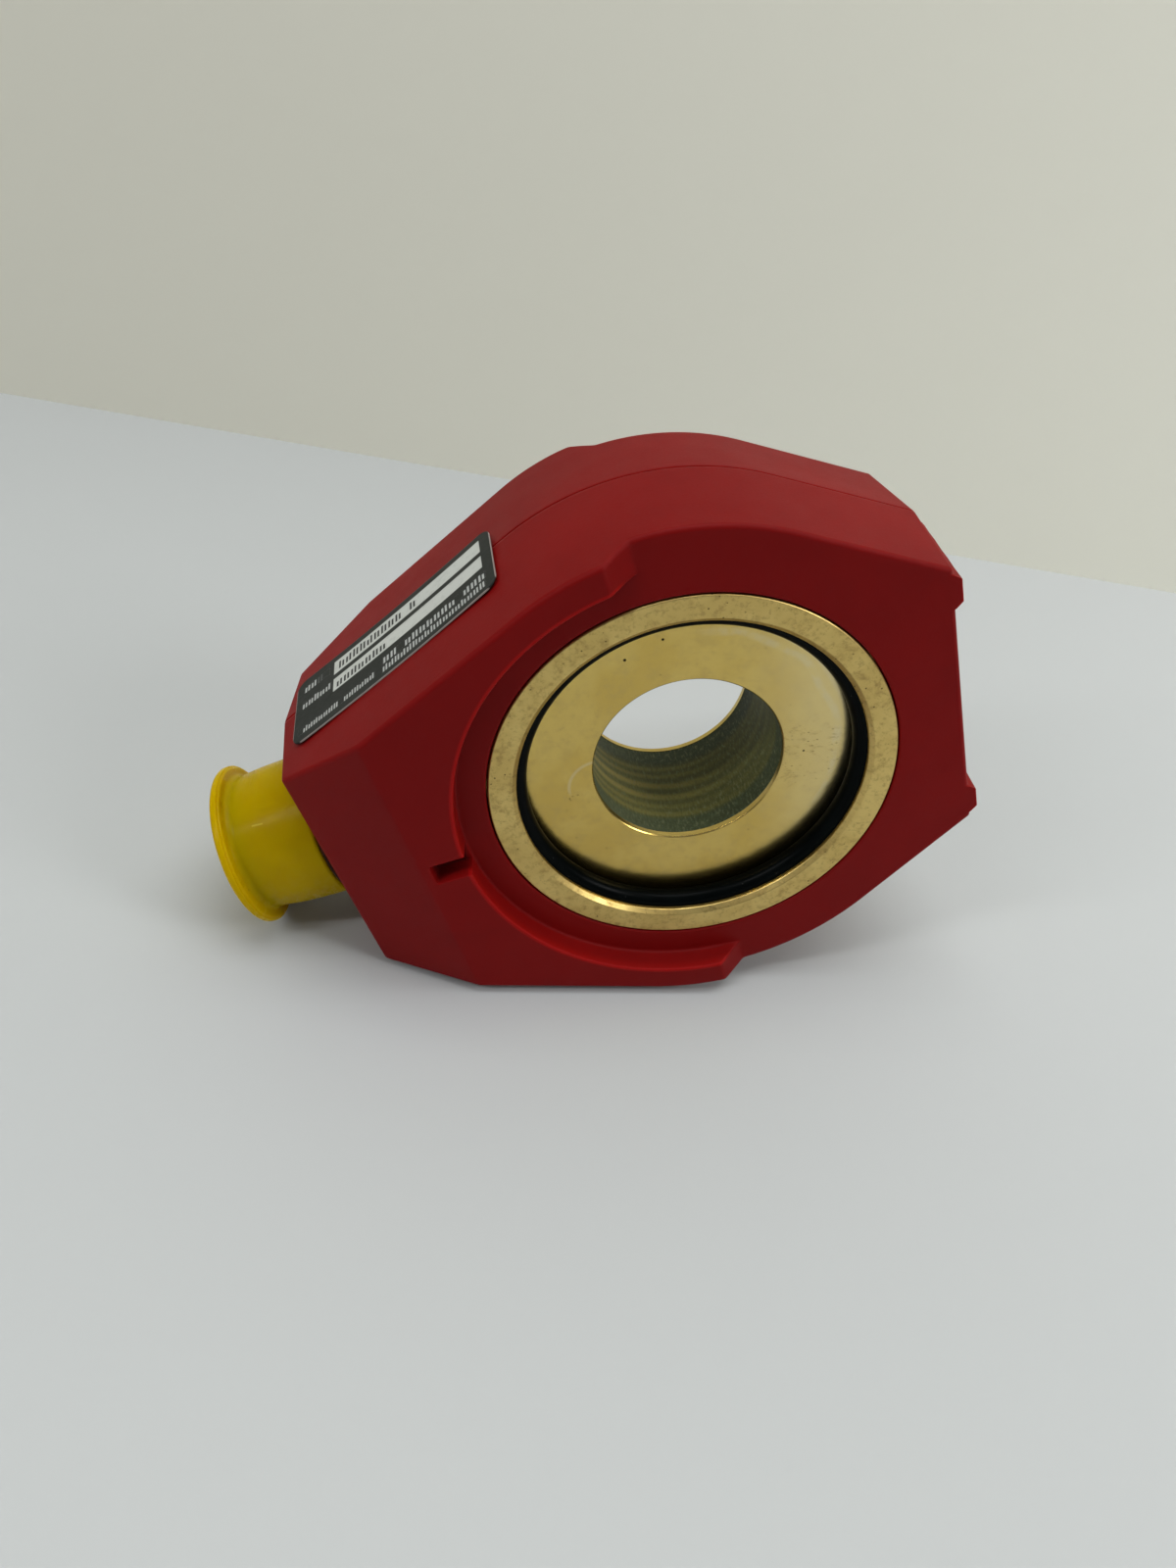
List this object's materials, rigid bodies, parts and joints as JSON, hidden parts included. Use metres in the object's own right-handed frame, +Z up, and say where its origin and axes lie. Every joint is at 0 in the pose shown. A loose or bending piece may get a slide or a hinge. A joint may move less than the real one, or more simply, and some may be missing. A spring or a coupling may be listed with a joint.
{
  "type": "eddy current encircling coil probe",
  "caption": "Encircling coil probe: a glass-fibre test bore between brass guide seats, in a split moulded housing with a side connector under a push-on dust cap.",
  "frame": {"origin": "middle of the test bore, on the plane where the housing halves meet", "axes": "+Y along the test bore towards the rear face, +Z up as the probe rests on its lower flank, connector towards -X and down"},
  "size_m": [0.13, 0.0462, 0.09],
  "materials": {
    "housing": "matte red moulded plastic",
    "guide_brass": "turned brass, slightly stained",
    "plate_brass": "faced brass with fine scratches",
    "seal_rubber": "glossy black rubber",
    "spacer_aluminium": "turned",
    "glass_fibre": "green glass-fibre laminate",
    "potting_resin": "cast resin",
    "shield_steel": "drawn tube",
    "copper_winding": "enamelled copper wire",
    "lead_insulation": "insulated wire",
    "board_laminate": "green circuit board",
    "board_parts": "moulded electronic parts",
    "plated_metal": "nickel plated",
    "insulator": "black moulded insulator",
    "contacts": "gold plated contacts",
    "gasket_rubber": "dark brown flat gasket",
    "cap_plastic": "soft translucent yellow plastic",
    "label_foil": "printed dark foil",
    "screw_steel": "socket-head screws",
    "insert_brass": "knurled inserts"
  },
  "bodies": {
    "probe": {"front_shell": "housing", "rear_shell": "housing", "front_ring": "guide_brass", "rear_ring": "guide_brass", "front_plate": "plate_brass", "rear_plate": "plate_brass", "front_o_ring": "seal_rubber", "rear_o_ring": "seal_rubber", "spacer_sleeve": "spacer_aluminium", "coil_tube": "glass_fibre", "potting": "potting_resin", "shield_sleeve": "shield_steel", "exciter_winding_front": "copper_winding", "exciter_winding_rear": "copper_winding", "receiver_winding_front": "copper_winding", "receiver_winding_rear": "copper_winding", "absolute_winding_front": "copper_winding", "absolute_winding_rear": "copper_winding", "coil_leads": "lead_insulation", "circuit_board": "board_laminate", "board_parts": "board_parts", "connector_leads": "lead_insulation", "connector_shell": "plated_metal", "connector_insert": "insulator", "connector_pins": "contacts", "connector_nut": "plated_metal", "connector_gasket": "gasket_rubber", "type_label": "label_foil", "shell_screws": "screw_steel", "threaded_inserts": "insert_brass"},
    "cap": {"dust_cap": "cap_plastic"}
  },
  "joints": [
    {"name": "cap_pull", "type": "slide", "parent": "probe", "child": "cap", "axis": [-0.9171, 0, -0.3987], "range_m": [0, 0.025]}
  ]
}
